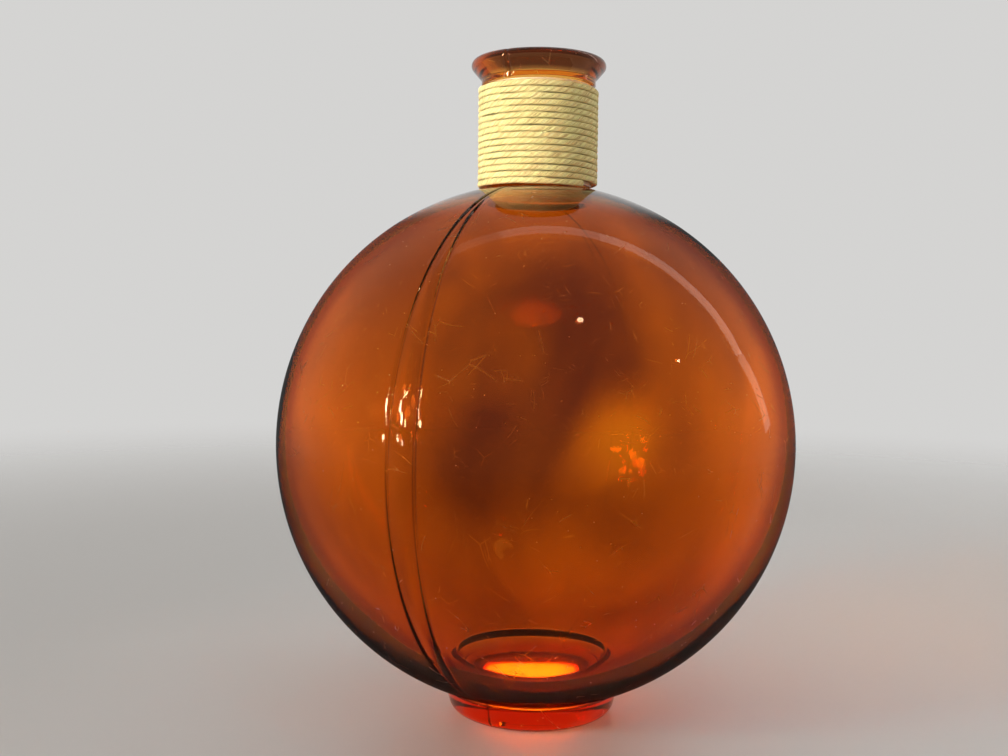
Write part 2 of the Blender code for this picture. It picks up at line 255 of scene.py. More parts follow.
# Lobes of painted light; the last one is a painted glow in the base
PAINTED_LIGHT_LOBES = (((-0.088, -0.045, 0.165), 0.085, -0.9), ((0.100, -0.020, 0.115), 0.090, -0.9),
                ((0.046, 0.107, 0.118), 0.038, -1.1), ((0.030, -0.113, 0.141), 0.034, -0.8),
                ((-0.031, -0.098, 0.182), 0.030, -0.7), ((-0.080, 0.07, 0.100), 0.07, -0.6),
                ((0.0, 0.0, 0.012), 0.060, -0.8))
PAINTED_GLOW_SPOTS = ((0.0337, -0.1146, 0.1384), (0.0516, 0.1075, 0.1127))

# Twine as it looks: strands that fill the pitch. Each unevenness has its size and the length of its waves along
# the twine; the size is a share of the radius, but an angle in radians for TWIST_DRIFT and a length for the
# other drifts. The creases' depth and the grooves' painted shade have a base, a change and the length of its
# waves
TWINE_RADIUS = 0.00143
TWINE_SQUARENESS = 0.58
STRANDS = 5
STRAND_LAY = 0.0165
SECTIONS_PER_TURN = 200
TWINE_SIDES = 28
TWINE_DEPTH_SHARE = 0.95
TWIST_DRIFT = (3.0, 0.045)
SWELLING = (0.03, 0.011)
STRAND_LUMPS = (0.07, 0.006)
CREASE_WIDTH = 0.14
CREASE_DEPTH = (0.096, 0.192, 0.006)
CREASE_LEAST_DEPTH = 0.016
THICKNESS_LIMIT = 1.03
OUTWARD_DRIFT = (0.00014, 0.010)
BROADENING = 0.14
UPWARD_DRIFT = (0.00020, 0.024)
END_ROUNDING = 1.1
END_THINNESS = 0.06
GROOVE_START = 0.86
GROOVE_DARKNESS = (0.45, 1.6, 0.007)
STRAW = (1.0, 0.88, 0.33, 1.0)
DEEP_STRAW = (0.98, 0.73, 0.27, 1.0)
PALE_STRAW = (1.0, 0.93, 0.46, 1.0)
FIBRE_BROWN = (0.50, 0.31, 0.10, 1.0)
# Painted shade in the creases between strands and in the grooves between turns, and the share of each
CREASE_PAINTED_SHADE_BROWN = (0.50, 0.30, 0.10, 1.0)
GROOVE_PAINTED_SHADE_BROWN = (0.28, 0.16, 0.05, 1.0)
CREASE_PAINTED_SHADE_SHARE = 0.45
GROOVE_PAINTED_SHADE_SHARE = 0.9

# Fibres and patches of the twine, in its untwisted place: how each pattern is stretched, and its scale
FIBRE_STRETCH = (1.5, 1.5, 0.07)
FIBRE_SCALE = 2.4
PATCH_STRETCH = (0.5, 0.5, 0.05)
PATCH_SCALE = 1.3
FIBRE_BUMP_HEIGHT = 0.0005
TWINE_ROUGHNESS = (0.85, 0.6)

# Glue: its colours, and its patterns' cells in a metre
GLUE_COLOURS = ((0.74, 0.55, 0.30, 1.0), (0.86, 0.74, 0.52, 1.0))
GLUE_ROUGHNESS = (0.25, 0.5)
GLUE_CLOUD_SCALE = 220.0
BUBBLE_SCALE = 900.0
BUBBLE_HEIGHT = 0.0001

# Sizes that follow from the ones above
GLOBE_RADIUS = GLOBE_DIAMETER / 2
GLOBE_HALF_HEIGHT = GLOBE_HEIGHT / 2
GLOBE_MIDDLE = GLOBE_LIFT + GLOBE_HALF_HEIGHT
HOLLOW_RADIUS = GLOBE_RADIUS - SIDE_WALL
HOLLOW_HALF_HEIGHT = (GLOBE_HEIGHT - SHOULDER_WALL - BASE_WALL) / 2
HOLLOW_MIDDLE = GLOBE_MIDDLE + (BASE_WALL - SHOULDER_WALL) / 2
FOOT_TOP_RADIUS = FOOT_TOP_DIAMETER / 2
FOOT_BOTTOM_RADIUS = FOOT_TOP_RADIUS - FOOT_TAPER
FLOOR_RADIUS = FOOT_BOTTOM_RADIUS - FLOOR_EDGE_WALL
NECK_RADIUS = NECK_DIAMETER / 2
BORE_RADIUS = NECK_RADIUS - NECK_WALL
COLLAR_RADIUS = NECK_RADIUS + COLLAR_STEP
LIP_RADIUS = COLLAR_RADIUS + LIP_FLARE
RIM_RADIUS = RIM_THICKNESS / 2
CORD_RADIUS = CORD_DIAMETER / 2
CORD_PITCH = CORD_DIAMETER + TURN_GAP
SHOULDER_FILLET = min(NECK_FILLET, CORD_RADIUS)


def globe_surface_height(radius):
    """Height of the globe's upper surface at the given radius."""
    return GLOBE_MIDDLE + GLOBE_HALF_HEIGHT * sqrt(1 - (radius / GLOBE_RADIUS) ** 2)


GLUE_OUTER_RADIUS = NECK_RADIUS + FIT_GAP + GLUE_THICKNESS
WINDING_RADIUS = (GLUE_OUTER_RADIUS + FIT_GAP + CORD_RADIUS) / cos(pi / CORD_POINTS_PER_TURN)
WINDING_OUTER_RADIUS = WINDING_RADIUS + CORD_RADIUS
SHOULDER_SLOPE = atan2(globe_surface_height(NECK_RADIUS) - globe_surface_height(WINDING_OUTER_RADIUS),
                       WINDING_OUTER_RADIUS - NECK_RADIUS)
WINDING_BOTTOM = globe_surface_height(WINDING_RADIUS) + (CORD_RADIUS + FIT_GAP) / cos(SHOULDER_SLOPE)
WINDING_TOP = WINDING_BOTTOM + TURNS * CORD_PITCH
COLLAR_BOTTOM = WINDING_TOP + CORD_RADIUS + FIT_GAP
LIP_BOTTOM = COLLAR_BOTTOM + COLLAR_HEIGHT
BOTTLE_HEIGHT = LIP_BOTTOM + LIP_HEIGHT


def arc(centre, radius, start, end, step):
    """Points (x, z) on a circle between two angles, both ends included."""
    count = max(1, ceil(abs(end - start) / step))
    angles = [radians(start + (end - start) * i / count) for i in range(count + 1)]
    return [(centre[0] + radius * cos(a), centre[1] + radius * sin(a)) for a in angles]


def ellipse_arc(half_width, half_height, middle, start, end):
    """Points (x, z) on a turned ellipse between two latitudes, both ends included."""
    count = max(1, round(abs(end - start) / GLOBE_STEP))
    latitudes = [radians(start + (end - start) * i / count) for i in range(count + 1)]
    return [(half_width * cos(t), middle + half_height * sin(t)) for t in latitudes]


def rounded(corner, before, after, radius):
    """The points of a fillet that replaces a corner between its two neighbours."""
    corner, before, after = Vector(corner), Vector(before), Vector(after)
    towards_before = (before - corner).normalized()
    towards_after = (after - corner).normalized()
    half_angle = towards_before.angle(towards_after) / 2
    reach = min(radius / tan(half_angle), (before - corner).length / 2, (after - corner).length / 2)
    radius = reach * tan(half_angle)
    centre = corner + (towards_before + towards_after).normalized() * (radius / sin(half_angle))
    first = corner + towards_before * reach - centre
    turn = first.angle_signed(corner + towards_after * reach - centre)
    start = degrees(atan2(first.y, first.x))
    return arc(centre, radius, start, start - degrees(turn), FILLET_STEP)


def fillet_on_curve(curve, reach_point, radius):
    """A corner's fillet at the start of a finely stepped curve, and the rest of the curve after it."""
    ahead = next(i for i, p in enumerate(curve) if hypot(p[0] - curve[0][0], p[1] - curve[0][1]) > 2 * radius)
    points = rounded(curve[0], reach_point, curve[ahead], radius)
    end = points[-1]
    after = next(i for i, p in enumerate(curve) if hypot(p[0] - curve[0][0], p[1] - curve[0][1]) >
                 hypot(end[0] - curve[0][0], end[1] - curve[0][1]))
    return points, curve[after:]


def tangent_angle(point, centre, radius, side):
    """Angle on a circle where a line from an outside point touches it, on the side +1 or -1."""
    along = degrees(atan2(point[1] - centre[1], point[0] - centre[0]))
    distance = hypot(point[0] - centre[0], point[1] - centre[1])
    return along + side * degrees(acos(radius / distance))


def lip_profile():
    """The funnel of the mouth, the round rim, the flare and the collar, from inside to outside."""
    centre = (LIP_RADIUS - RIM_RADIUS, BOTTLE_HEIGHT - RIM_RADIUS)
    funnel_foot = (BORE_RADIUS, BOTTLE_HEIGHT - MOUTH_FUNNEL_HEIGHT)
    flare_foot = (COLLAR_RADIUS, LIP_BOTTOM)
    inner_touch = tangent_angle(funnel_foot, centre, RIM_RADIUS, -1) % 360
    outer_touch = (tangent_angle(flare_foot, centre, RIM_RADIUS, 1) + 180) % 360 - 180
    rim = arc(centre, RIM_RADIUS, inner_touch, outer_touch, FILLET_STEP)
    bore_middle = (BORE_RADIUS, (funnel_foot[1] + globe_surface_height(NECK_RADIUS)) / 2)
    collar_edge = (COLLAR_RADIUS, COLLAR_BOTTOM)
    ledge = (NECK_RADIUS, COLLAR_BOTTOM)
    path = rounded(funnel_foot, bore_middle, rim[0], MOUTH_FUNNEL_FILLET)
    path += rim
    path += rounded(flare_foot, rim[-1], collar_edge, LIP_FILLET)
    path += rounded(collar_edge, flare_foot, ledge, COLLAR_FILLET)
    return path + [ledge]


def floor_height(radius):
    """Height of the hollow's floor, which sinks below the plain ellipse inside the floor's edge."""
    share = max(0, (radius - FLOOR_RADIUS) / FLOOR_SLOPE)
    plain = HOLLOW_MIDDLE - HOLLOW_HALF_HEIGHT * sqrt(1 - (radius / HOLLOW_RADIUS) ** 2)
    return plain - FLOOR_SINK * (1 - share * share * (3 - 2 * share))


def hollow_profile():
    """The inside of the globe, from its sunken floor up to the bore of the neck."""
    top = degrees(acos(BORE_RADIUS / HOLLOW_RADIUS))
    bottom = -degrees(acos((FLOOR_RADIUS + FLOOR_SLOPE) / HOLLOW_RADIUS))
    wall = ellipse_arc(HOLLOW_RADIUS, HOLLOW_HALF_HEIGHT, HOLLOW_MIDDLE, top, bottom)
    above = (BORE_RADIUS, BOTTLE_HEIGHT - MOUTH_FUNNEL_HEIGHT)
    corner, rest = fillet_on_curve(wall, above, NECK_BORE_FILLET)
    slope = [FLOOR_RADIUS + FLOOR_SLOPE * i / FLOOR_STEPS for i in range(FLOOR_STEPS)]
    middle = [FLOOR_RADIUS * i / FLOOR_STEPS for i in range(FLOOR_STEPS)]
    return [(x, floor_height(x)) for x in middle + slope] + list(reversed(corner + rest))


def globe_profile():
    """The outside of the globe, from the foot of the neck down to the top of the ring foot."""
    top = degrees(acos(NECK_RADIUS / GLOBE_RADIUS))
    bottom = -degrees(acos(FOOT_TOP_RADIUS / GLOBE_RADIUS))
    wall = ellipse_arc(GLOBE_RADIUS, GLOBE_HALF_HEIGHT, GLOBE_MIDDLE, top, bottom)
    shoulder, rest = fillet_on_curve(wall, (NECK_RADIUS, COLLAR_BOTTOM), SHOULDER_FILLET)
    joint, rest = fillet_on_curve(list(reversed(rest)), (FOOT_BOTTOM_RADIUS, 0.0), FOOT_JOINT_FILLET)
    return shoulder + list(reversed(rest)) + list(reversed(joint))


def foot_profile():
    """The foot's heel, the flat ring that it stands on, and the recess under the base."""
    foot_top = globe_profile()[-1]
    edge = (FOOT_BOTTOM_RADIUS, 0.0)
    heel = rounded(edge, foot_top, (0.0, 0.0), FOOT_HEEL_FILLET)
    land = (heel[-1][0] - FOOT_LAND_WIDTH, 0.0)
    recess = (land[0] - FOOT_RECESS_SLOPE, FOOT_RECESS_DEPTH)
    wall = rounded(recess, land, (0.0, FOOT_RECESS_DEPTH), FOOT_RECESS_SLOPE)
    return heel + [land] + wall + [(0.0, FOOT_RECESS_DEPTH)]


def in_short_steps(path):
    """The path with more points on its long edges."""
    points = [path[0]]
    for before, after in zip(path, path[1:]):
        count = max(1, ceil(hypot(after[0] - before[0], after[1] - before[1]) / LONGEST_EDGE))
        for i in range(1, count + 1):
            points.append((before[0] + (after[0] - before[0]) * i / count,
                           before[1] + (after[1] - before[1]) * i / count))
    return points


def smooth_step(value):
    """A smooth rise from 0 at and below 0 to 1 at and above 1."""
    value = np.clip(value, 0.0, 1.0)
    return value * value * (3 - 2 * value)


def waves(points, layers, seed):
    """Smooth random heights at the given points: a sum of noise layers (depth, length)."""
    heights = np.zeros(len(points))
    for number, (depth, length) in enumerate(layers):
        shift = Vector((seed * 7.3 + number * 3.1, seed * 2.7, number * 5.9))
        heights += depth * np.array([noise.noise(Vector(p) / length + shift) for p in points])
    return heights


def new_mesh(name, vertices, faces):
    """A smooth-shaded mesh object in the scene."""
    mesh = bpy.data.meshes.new(name)
    mesh.from_pydata([tuple(v) for v in vertices], [], [tuple(int(i) for i in f) for f in faces])
    mesh.validate()
    mesh.shade_smooth()
    obj = bpy.data.objects.new(name, mesh)
    bpy.context.scene.collection.objects.link(obj)
    return obj


def glass_columns(radius, spacing):
    """Azimuths of one row's vertices, measured from the front seam, close together at both seams."""
    main = np.concatenate([-NEAR_SEAM[::-1], [0.0], BETWEEN_SEAMS])
    bow = np.concatenate([-BETWEEN_SEAMS[::-1], [0.0], NEAR_SEAM]) + spacing
    lateral = np.concatenate([main, bow]) / max(radius, LEAST_COLUMN_RADIUS)
    cluster = np.arcsin(np.clip(lateral, -0.9, 0.9))
    plain = np.linspace(cluster[-1], pi + cluster[0], PLAIN_COLUMNS + 2)[1:-1]
    half = np.concatenate([cluster, plain])
    return np.concatenate([half, half + pi])


def make_glass():
    """The bottle: one turned shell with raised mould seams and slightly wavy walls."""
    hollow = in_short_steps(hollow_profile())
    outside = in_short_steps(lip_profile() + globe_profile() + foot_profile())
    path = np.array(hollow + outside)
    kept = np.concatenate([[True], np.hypot(*np.diff(path, axis=0).T) > MERGE_DISTANCE])
    inner = (np.arange(len(path)) < len(hollow))[kept]
    path = path[kept]
    along = np.gradient(path, axis=0)
    along /= np.hypot(*along.T)[:, None]
    normals = np.stack([along[:, 1], -along[:, 0]], 1)
    crown = np.argmax(path[:, 1])

    # The second seam's distance from the first, and how far each seam stands proud in each row
    level = (path[:, 1] - GLOBE_MIDDLE) / GLOBE_HALF_HEIGHT
    on_globe = (~inner) & (path[:, 1] < globe_surface_height(WINDING_OUTER_RADIUS)) \
        & (path[:, 0] > FOOT_TOP_RADIUS / 2)
    bow = np.where(np.abs(level) < 1, SEAM_BOW * (1 - np.minimum(level ** 2, 1)), 0.0)
    spacing = np.maximum(bow, SEAM_LEAST_SPACING)
    on_lip = (np.arange(len(path)) > crown) & (path[:, 1] > COLLAR_BOTTOM + COLLAR_FILLET / 2)
    main_height = np.where(on_globe, smooth_step((path[:, 1] - SEAM_LIFT) / SEAM_START_LENGTH), 0.0)
    lip_height = smooth_step((path[:, 0] - COLLAR_RADIUS + SEAM_FADE) / SEAM_FADE)
    main_height = np.where(on_lip, lip_height, main_height)
    bow_height = np.where(on_globe & (path[:, 1] > BOWED_SEAM_BOTTOM),
                          smooth_step((bow - SEAM_LEAST_SPACING) / SEAM_FADE), 0.0)

    vertices, columns, flanks = [], [], []
    for (radius, height), normal, gap, rise, bow_rise in zip(path, normals, spacing, main_height, bow_height):
        turn = glass_columns(radius, gap)
        columns.append(len(turn))
        aside = radius * np.sin(turn)
        front = np.where(np.cos(turn) > 0, 1.0, -1.0)
        bead = rise * np.exp(-(aside / SEAM_WIDTH) ** 2)
        bead = np.maximum(bead, bow_rise * np.exp(-((aside * front - gap) / SEAM_WIDTH) ** 2))
        share = np.where(front > 0, 1.0, BACK_SEAM_SHARE)
        push = SEAM_HEIGHT * bead * share

        # How steep the bead is here: 1 at half its height, 0 at its top and beside it
        flanks.append(4 * bead * (1 - bead) * share ** 2)
        angle = turn + radians(SEAM_AZIMUTH)
        row = np.stack([(radius + normal[0] * push) * np.cos(angle),
                        (radius + normal[0] * push) * np.sin(angle),
                        height + normal[1] * push], 1)
        vertices.append(row)
    count = columns[0]
    grid = np.array(vertices)

    # Waves, which fade out at the foot and the lip
    flat = grid.reshape(-1, 3)
    heights = grid[:, :, 2]
    fade = smooth_step((heights - WAVES_BOTTOM) / WAVES_FADE) * smooth_step((WAVES_TOP - heights) / WAVES_FADE)
    inside = np.repeat(inner[:, None], count, 1)
    push = np.where(inside, -waves(flat, INNER_WAVES, 1).reshape(fade.shape),
                    waves(flat, OUTER_WAVES, 2).reshape(fade.shape)) * fade
    distance = np.maximum(np.hypot(grid[:, :, 0], grid[:, :, 1]), 1e-9)
    out = grid * np.array([1.0, 1.0, 0.0]) / distance[:, :, None]
    up = np.array([0.0, 0.0, 1.0])
    grid = grid + (out * normals[:, None, 0:1] + up * normals[:, None, 1:2]) * push[:, :, None]

    # Rows on the axis are single points
    rows, row_flanks, first, total = [], [], [], 0
    for row, flank, (radius, height) in zip(grid, flanks, path):
        row = row if radius > MERGE_DISTANCE else np.array([[0.0, 0.0, height]])
        rows.append(row)
        row_flanks.append(flank[:len(row)])
        first.append(total)
        total += len(row)
    faces = []
    for i in range(len(rows) - 1):
        low, high = first[i], first[i + 1]
        for j in range(count):
            k = (j + 1) % count
            if len(rows[i]) == 1:
                faces.append((low, high + j, high + k))
            elif len(rows[i + 1]) == 1:
                faces.append((low + k, low + j, high))
            else:
                faces.append((low + k, low + j, high + j, high + k))
    obj = new_mesh("glass_bottle_body", np.concatenate(rows), faces)

    # The flanks' steepness, for the material
    attribute = obj.data.attributes.new("seam_flank", "FLOAT", "POINT")
    attribute.data.foreach_set("value", np.concatenate(row_flanks).astype(np.float32))
    return obj


def winding_route(steps_per_turn):
    """The twine's centre line: a left-handed helix with a straight run at each end."""
    count = round(TURNS * steps_per_turn)
    share = np.arange(count + 1) / count
    angle = np.radians(CORD_START_ANGLE) - 2 * pi * TURNS * share
    points = np.stack([WINDING_RADIUS * np.cos(angle), WINDING_RADIUS * np.sin(angle),
                       WINDING_BOTTOM + (WINDING_TOP - WINDING_BOTTOM) * share], 1)
    step = 2 * pi * WINDING_RADIUS / steps_per_turn
    run = np.arange(1, max(2, round(CORD_DIAMETER / step)) + 1)[:, None] * step
    ends = []
    for last, inner in ((points[0], points[1]), (points[-1], points[-2])):
        outward = np.array([last[0], last[1], 0.0]) / hypot(last[0], last[1])
        along = last - inner
        along -= outward * along.dot(outward)
        along[2] = 0.0
        ends.append(last + along / np.linalg.norm(along) * run)
    return np.concatenate([ends[0][::-1], points, ends[1]])


def unevenness(lengths, period, *seed):
    """Smooth random values from -1 to 1 along the twine."""
    return np.array([noise.noise(Vector((length / period, *seed))) for length in lengths])


def superellipse(values):
    """Cosines or sines, changed so that a circle of them becomes a square with round corners."""
    return np.sign(values) * np.abs(values) ** TWINE_SQUARENESS


def make_twine():
    """The twine: one cord of twisted strands, with uneven thickness and drawn-in ends."""
    centre = winding_route(SECTIONS_PER_TURN)
    step = np.linalg.norm(np.diff(centre, axis=0), axis=1)
    length = np.concatenate([[0.0], np.cumsum(step)])
    tangent = np.gradient(centre, axis=0)
    tangent /= np.linalg.norm(tangent, axis=1)[:, None]
    outward = centre * np.array([1.0, 1.0, 0.0])
    outward /= np.linalg.norm(outward, axis=1)[:, None]
    upward = np.cross(outward, tangent)
    upward *= np.sign(upward[:, 2])[:, None]
    upward /= np.linalg.norm(upward, axis=1)[:, None]

    around = 2 * pi * np.arange(TWINE_SIDES) / TWINE_SIDES
    lay = 2 * pi * length / STRAND_LAY
    drift = TWIST_DRIFT[0] * unevenness(length, TWIST_DRIFT[1], 0.0, 4.0)
    twist = around[None, :] + lay[:, None] + drift[:, None]
    turns = twist * STRANDS / (2 * pi)
    phase = turns % 1.0
    crease = np.exp(-(np.minimum(phase, 1 - phase) / CREASE_WIDTH) ** 2)
    strand = np.floor(turns % STRANDS)
    lumps = np.zeros(twist.shape)
    for number in range(STRANDS):
        lump = unevenness(length, STRAND_LUMPS[1], 9.0 + 5.0 * number, 1.0)
        lumps = np.where(strand == number, lump[:, None], lumps)
    swell = unevenness(length, SWELLING[1], 3.0, 0.0)
    depth = CREASE_DEPTH[0] + CREASE_DEPTH[1] * unevenness(length, CREASE_DEPTH[2], 6.0, 2.0)
    depth = np.maximum(depth, CREASE_LEAST_DEPTH)
    radius = 1 + SWELLING[0] * swell[:, None] + STRAND_LUMPS[0] * lumps - depth[:, None] * crease
    radius = np.minimum(radius, THICKNESS_LIMIT) * TWINE_RADIUS
    from_end = np.minimum(length, length[-1] - length)
    near_end = 1 - np.clip(from_end / (TWINE_RADIUS * END_ROUNDING), 0, 1)
    radius *= np.sqrt(np.clip(1 - near_end ** 2, END_THINNESS, 1))[:, None]
    broad = unevenness(length, OUTWARD_DRIFT[1], 8.0, 5.0)[:, None]
    x = radius * superellipse(np.cos(around)) * TWINE_DEPTH_SHARE + OUTWARD_DRIFT[0] * broad
    z = radius * superellipse(np.sin(around)) * (1 + BROADENING * broad)
    z += UPWARD_DRIFT[0] * unevenness(length, UPWARD_DRIFT[1], 1.0, 7.0)[:, None]
    rings = centre[:, None, :] + outward[:, None, :] * x[:, :, None] + upward[:, None, :] * z[:, :, None]
    count, sides = rings.shape[:2]
    vertices = np.concatenate([rings.reshape(-1, 3), centre[:1], centre[-1:]])
    faces = []
    for i in range(count - 1):
        for j in range(sides):
            k = (j + 1) % sides
            faces.append((i * sides + j, i * sides + k, (i + 1) * sides + k, (i + 1) * sides + j))
    head, tail = count * sides, count * sides + 1
    for j in range(sides):
        k = (j + 1) % sides
        faces.append((head, k, j))
        faces.append((tail, (count - 1) * sides + j, (count - 1) * sides + k))
    obj = new_mesh("neck_twine", vertices, faces)

    # Where each point lies in the straight, untwisted twine, and how deep it is in a crease
    place = np.stack([np.cos(twist), np.sin(twist), np.repeat(length[:, None], sides, 1) / TWINE_RADIUS], 2)
    place = np.concatenate([place.reshape(-1, 3), place[0, :1], place[-1, :1]])
    crease = np.concatenate([crease.reshape(-1), [1.0, 1.0]])
    attribute = obj.data.attributes.new("twine_place", "FLOAT_VECTOR", "POINT")
    attribute.data.foreach_set("vector", place.astype(np.float32).reshape(-1))
    attribute = obj.data.attributes.new("crease", "FLOAT", "POINT")
    attribute.data.foreach_set("value", crease.astype(np.float32))
    # Painted shade in the grooves between turns, uneven along the twine
    base, change, period = GROOVE_DARKNESS
    darkness = smooth_step(base + change * unevenness(length, period, 2.0, 11.0))
    groove_painted_shade = smooth_step((np.abs(np.sin(around)) - GROOVE_START) / (1 - GROOVE_START)) * darkness[:, None]
    attribute = obj.data.attributes.new("groove_painted_shade", "FLOAT", "POINT")
    attribute.data.foreach_set("value", np.concatenate([groove_painted_shade.reshape(-1), [0.0, 0.0]]).astype(np.float32))
    return obj


class Nodes:
    """A material's nodes, made and linked one after another."""

    def __init__(self, name):
        self.material = bpy.data.materials.new(name)
        self.material.use_nodes = True
        self.tree = self.material.node_tree
        self.tree.nodes.clear()
        self.output = self.tree.nodes.new("ShaderNodeOutputMaterial")

    def add(self, kind, settings=None, **inputs):
        """A node with its settings and inputs; an input's name has underscores for its spaces."""
        node = self.tree.nodes.new(kind)
        for key, value in (settings or {}).items():
            setattr(node, key, value)
        for key, value in inputs.items():
            self.put(node.inputs[key.replace("_", " ")], value)
        return node

    def put(self, socket, value):
        """Links the value to the socket, or sets it there if it's a constant."""
        if isinstance(value, bpy.types.NodeSocket):
            self.tree.links.new(value, socket)
        else:
            socket.default_value = value

    def numbered(self, kind, operation, values):
        """A maths node whose inputs go by their order."""
        node = self.add(kind, {"operation": operation})
        for socket, value in zip(node.inputs, values):
            self.put(socket, value)
        return node

    def maths(self, operation, *values):
        return self.numbered("ShaderNodeMath", operation, values).outputs[0]

    def vector_maths(self, operation, *values):
        return self.numbered("ShaderNodeVectorMath", operation, values).outputs

    def noise(self, place, scale, detail, **inputs):
        return self.add("ShaderNodeTexNoise", Vector=place, Scale=scale, Detail=detail, **inputs).outputs

    def spread(self, value, low, high, to_low, to_high):
        """A smooth step from one value to another while the first one goes from low to high."""
        node = self.add("ShaderNodeMapRange", {"interpolation_type": "SMOOTHSTEP"}, Value=value, From_Min=low,
                        From_Max=high, To_Min=to_low, To_Max=to_high)
        return node.outputs["Result"]

    def blend(self, factor, first, second):
        """A mix of two colours."""
        node = self.add("ShaderNodeMix", {"data_type": "RGBA"}, Factor=factor)
        self.put(node.inputs[6], first)
        self.put(node.inputs[7], second)
        return node.outputs[2]

    def mix_shaders(self, factor, first, second):
        node = self.tree.nodes.new("ShaderNodeMixShader")
        for socket, value in zip(node.inputs, (factor, first, second)):
            self.tree.links.new(value, socket)
        return node.outputs[0]

    def finish(self, surface):
        """The material, with its surface linked."""
        self.tree.links.new(surface, self.output.inputs["Surface"])
        return self.material


def glass_marks(n, place):
    """Where the glass has hairline scratches, thin curved lines in short pieces, or specks of dust."""
    drift = n.noise(place, SCRATCH_BEND_SCALE, 1.0)["Color"]
    bent = n.vector_maths("MULTIPLY_ADD", drift, SCRATCH_BEND, place)[0]
    lines = []
    for scale, thickness, shift in SCRATCH_WEBS:
        web = n.add("ShaderNodeTexVoronoi", {"feature": "DISTANCE_TO_EDGE"}, Vector=bent, Scale=scale)
        moved = n.vector_maths("ADD", place, (shift, shift, shift))[0]
        line = n.spread(web.outputs["Distance"], thickness * 0.4, thickness, 1.0, 0.0)
        gaps = n.spread(n.noise(moved, SCRATCH_GAP_SCALE, 1.0)[0], 0.60, 0.68, 0.0, 1.0)
        lines.append(n.maths("MULTIPLY", line, gaps))
    scratches = n.maths("MAXIMUM", *lines)
    cells = n.add("ShaderNodeTexVoronoi", {"feature": "F1"}, Vector=place, Scale=SPECK_SCALE)
    specks = n.spread(cells.outputs["Distance"], *SPECK_FADE, 1.0, 0.0)
    return n.maths("MAXIMUM", scratches, specks)


def globe_tint(n, place, height):
    """Uneven tint: brown and golden streaks down the globe, painted light in bright lobes and glowing spots,
    and painted shade in the middle and towards the shoulder and the bottom.
    """
    flow = n.noise(place, FLOW_SCALE, 1.0)["Color"]
    centred = n.vector_maths("SUBTRACT", flow, (0.5, 0.5, 0.5))[0]
    warped = n.vector_maths("MULTIPLY_ADD", centred, CLOUD_WARP, place)[0]
    stretched = n.add("ShaderNodeMapping", Vector=warped, Scale=CLOUD_STRETCH).outputs[0]
    clouds = n.add("ShaderNodeTexNoise", {"noise_dimensions": "4D"}, Vector=stretched, W=CLOUD_SEED,
                   Scale=CLOUD_SCALE, Detail=3.0).outputs[0]
    # Random streaks, with painted shade towards the shoulder and towards the bottom
    streaks_and_painted_shading = n.maths("ADD", n.spread(clouds, 0.40, 0.62, 0.05, 0.45), n.spread(height, *SHOULDER_PAINTED_SHADE))
    streaks_and_painted_shading = n.maths("ADD", streaks_and_painted_shading, n.spread(height, *LOW_PAINTED_SHADE))
    # Lobes of painted shade in the middle and of painted light elsewhere
    for centre, reach, share in PAINTED_SHADE_LOBES + PAINTED_LIGHT_LOBES:
        away = n.vector_maths("DISTANCE", warped, centre)["Value"]
        streaks_and_painted_shading = n.maths("ADD", streaks_and_painted_shading, n.spread(away, reach * LOBE_CORE, reach, share, 0.0))
    streaks_and_painted_shading = n.maths("MINIMUM", n.maths("MAXIMUM", streaks_and_painted_shading, 0.0), 1.0)
    tint = n.blend(streaks_and_painted_shading, LIGHT_AMBER, DARK_AMBER)
    # Spots of painted glow round the inner highlights
    for centre in PAINTED_GLOW_SPOTS:
        away = n.vector_maths("DISTANCE", place, centre)["Value"]
        tint = n.blend(n.spread(away, *PAINTED_GLOW_FADE), tint, PAINTED_GLOW_AMBER)
    return tint


